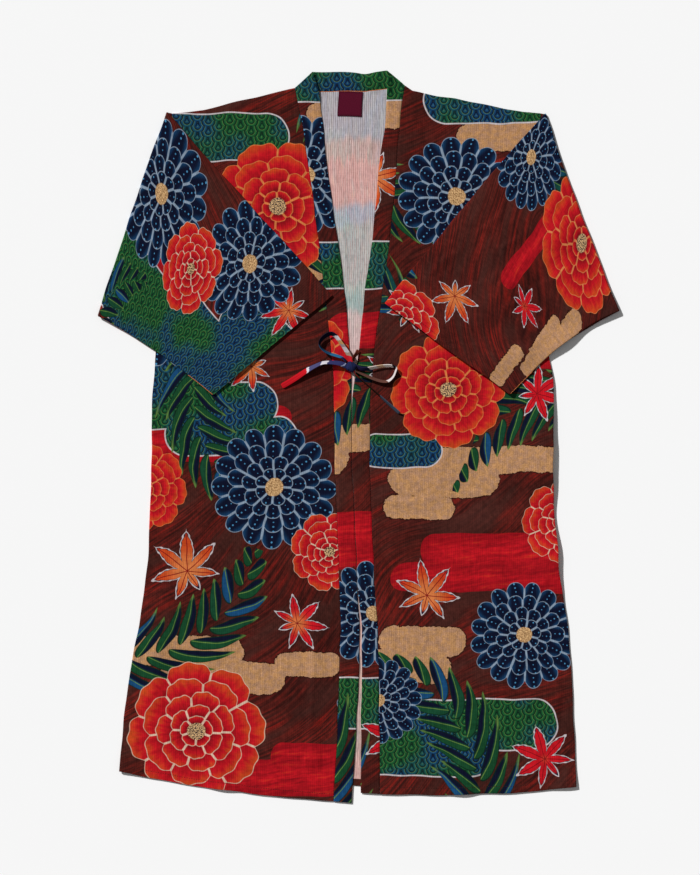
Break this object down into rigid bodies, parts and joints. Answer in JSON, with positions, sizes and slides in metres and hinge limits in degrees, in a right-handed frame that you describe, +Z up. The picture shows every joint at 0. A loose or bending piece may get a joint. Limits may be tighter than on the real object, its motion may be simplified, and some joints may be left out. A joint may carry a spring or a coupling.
{
  "type": "haori jacket laid flat",
  "caption": "Thigh-length haori jacket in printed cotton, laid flat with its straight sleeves folded forward and its ties in a bow at the open front.",
  "frame": {"origin": "on the surface the jacket lies on, below the middle of its box", "axes": "+Y up the back to the collar, +Z up off the surface, +X to the right looking down with the collar away from the viewer"},
  "size_m": [0.7296, 1.0256, 0.0118],
  "materials": {
    "printed_cotton": "slubby plain-weave cotton printed with flowers and leaves on chestnut brown, paler on the inside",
    "sleeve_cotton": "the same printed cotton, its ribs along the cuff",
    "collar_cotton": "the same printed cotton folded double into a band",
    "label_weave": "damask-woven label, bare maroon",
    "tie_cotton": "printed cotton sewn into narrow flat ties"
  },
  "bodies": {
    "root": {"back": "printed_cotton", "front_left": "printed_cotton", "front_right": "printed_cotton", "sleeve_left": "sleeve_cotton", "sleeve_right": "sleeve_cotton", "collar_left": "collar_cotton", "collar_neck": "collar_cotton", "collar_right": "collar_cotton", "neck_label": "label_weave", "tie_knot": "tie_cotton", "tie_root_right": "tie_cotton", "tie_loop_left": "tie_cotton", "tie_loop_right": "tie_cotton", "tie_tail_left": "tie_cotton", "tie_tail_right": "tie_cotton"}
  },
  "joints": []
}
